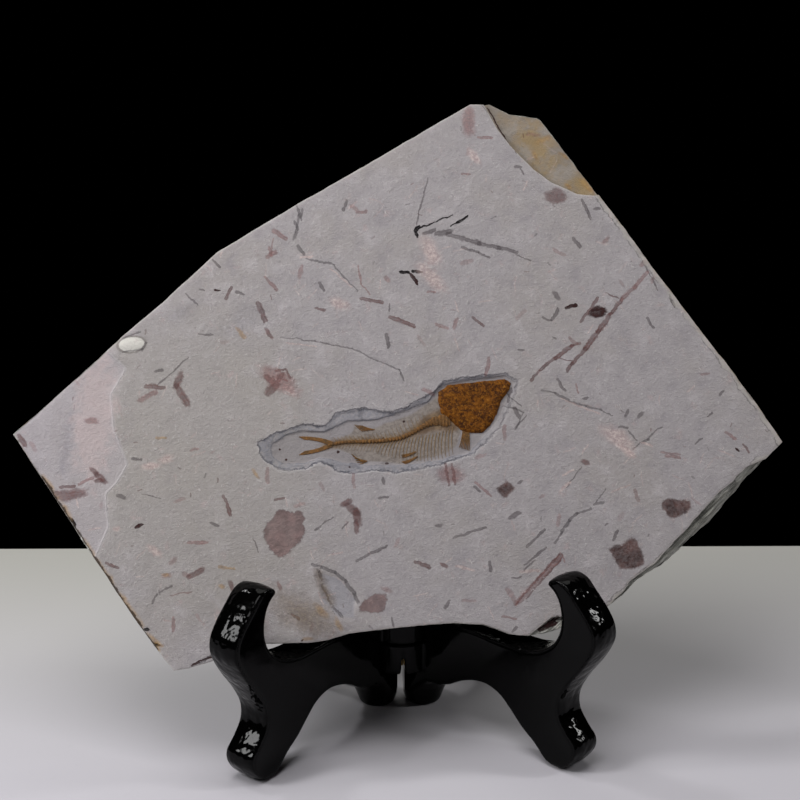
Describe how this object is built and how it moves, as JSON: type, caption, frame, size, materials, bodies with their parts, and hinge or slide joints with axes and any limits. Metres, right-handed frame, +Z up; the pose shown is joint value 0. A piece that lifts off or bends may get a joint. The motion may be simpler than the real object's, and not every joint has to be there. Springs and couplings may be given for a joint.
{
  "type": "fossil fish slab on a folding stand",
  "caption": "Broken mudstone slab with a flattened fossil fish in a prepared hollow, leaning on a folding two-part display stand with hooked front arms.",
  "frame": {"origin": "middle of the whole piece's footprint box, on the surface that it stands on", "axes": "+Z up, the slab's face looks towards -Y and up, +X to the right of someone facing it"},
  "size_m": [0.2824, 0.118, 0.2266],
  "materials": {
    "mudstone": "matt grey split mudstone with brown-mauve and ochre marks",
    "fossil_bone": "dull ochre-brown bone, flattened, on a warm grey film",
    "black_plastic": "glossy black moulded plastic, slightly wavy",
    "pin_metal": "dull yellow metal"
  },
  "bodies": {
    "left_half": {"stand_left_half": "black_plastic", "hinge_pin": "pin_metal", "slab": "mudstone", "fossil_fish": "fossil_bone"},
    "right_half": {"stand_right_half": "black_plastic"}
  },
  "joints": [
    {"name": "stand_fold", "type": "hinge", "parent": "left_half", "child": "right_half", "pos_m": [0, 0.01047, 0.03], "axis": [0, 0, -1], "range_deg": [0, 78]}
  ]
}
